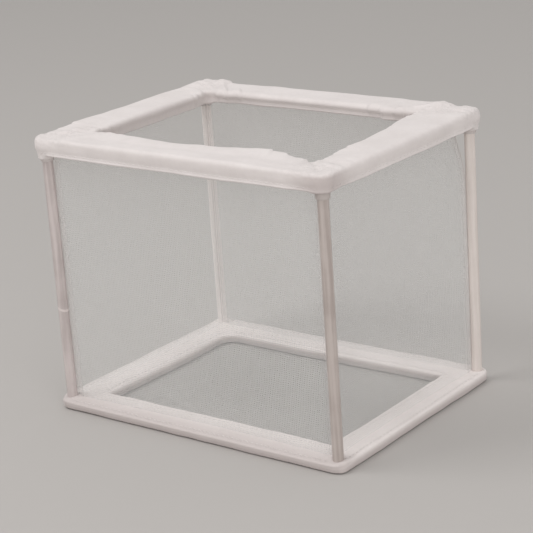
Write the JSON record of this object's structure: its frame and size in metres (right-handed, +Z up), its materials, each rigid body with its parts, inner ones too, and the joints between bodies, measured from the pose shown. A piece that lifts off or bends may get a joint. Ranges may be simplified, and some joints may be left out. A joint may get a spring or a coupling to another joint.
{
  "type": "fish breeding box",
  "caption": "Free-standing net breeding box: a fine net bag with fabric hems, held open by a white plastic frame whose top plugs onto slim corner posts.",
  "frame": {"origin": "on the surface it stands on, under the centre of the frame", "axes": "+X along the long side to the right, -Y towards the front, +Z up towards the open top"},
  "size_m": [0.165, 0.127, 0.133],
  "materials": {
    "frame_plastic": "smooth white moulded plastic",
    "post_plastic": "slightly cloudy white tube",
    "hem_fabric": "matte white woven fabric, stitched",
    "seam_tape": "narrow white woven tape",
    "net_mesh": "fine see-through white mesh"
  },
  "bodies": {
    "base_frame": {"bottom_rail_front": "frame_plastic", "bottom_rail_back": "frame_plastic", "bottom_rail_left": "frame_plastic", "bottom_rail_right": "frame_plastic", "bottom_corner_front_left": "frame_plastic", "bottom_corner_front_right": "frame_plastic", "bottom_corner_back_left": "frame_plastic", "bottom_corner_back_right": "frame_plastic", "bottom_band_front": "hem_fabric", "bottom_band_back": "hem_fabric", "bottom_band_left": "hem_fabric", "bottom_band_right": "hem_fabric", "post_front_left": "post_plastic", "post_front_right": "post_plastic", "post_back_left": "post_plastic", "post_back_right": "post_plastic", "net_front": "net_mesh", "net_back": "net_mesh", "net_left": "net_mesh", "net_right": "net_mesh", "net_floor": "net_mesh", "seam_front_left": "seam_tape", "seam_front_right": "seam_tape", "seam_back_left": "seam_tape", "seam_back_right": "seam_tape"},
    "top_frame": {"top_rail_front": "frame_plastic", "top_rail_back": "frame_plastic", "top_rail_left": "frame_plastic", "top_rail_right": "frame_plastic", "top_corner_front_left": "frame_plastic", "top_corner_front_right": "frame_plastic", "top_corner_back_left": "frame_plastic", "top_corner_back_right": "frame_plastic", "top_hem_front": "hem_fabric", "top_hem_back": "hem_fabric", "top_hem_left": "hem_fabric", "top_hem_right": "hem_fabric"}
  },
  "joints": [
    {"name": "top_frame_lift", "type": "slide", "parent": "base_frame", "child": "top_frame", "axis": [0, 0, 1], "range_m": [0, 0.01]}
  ]
}
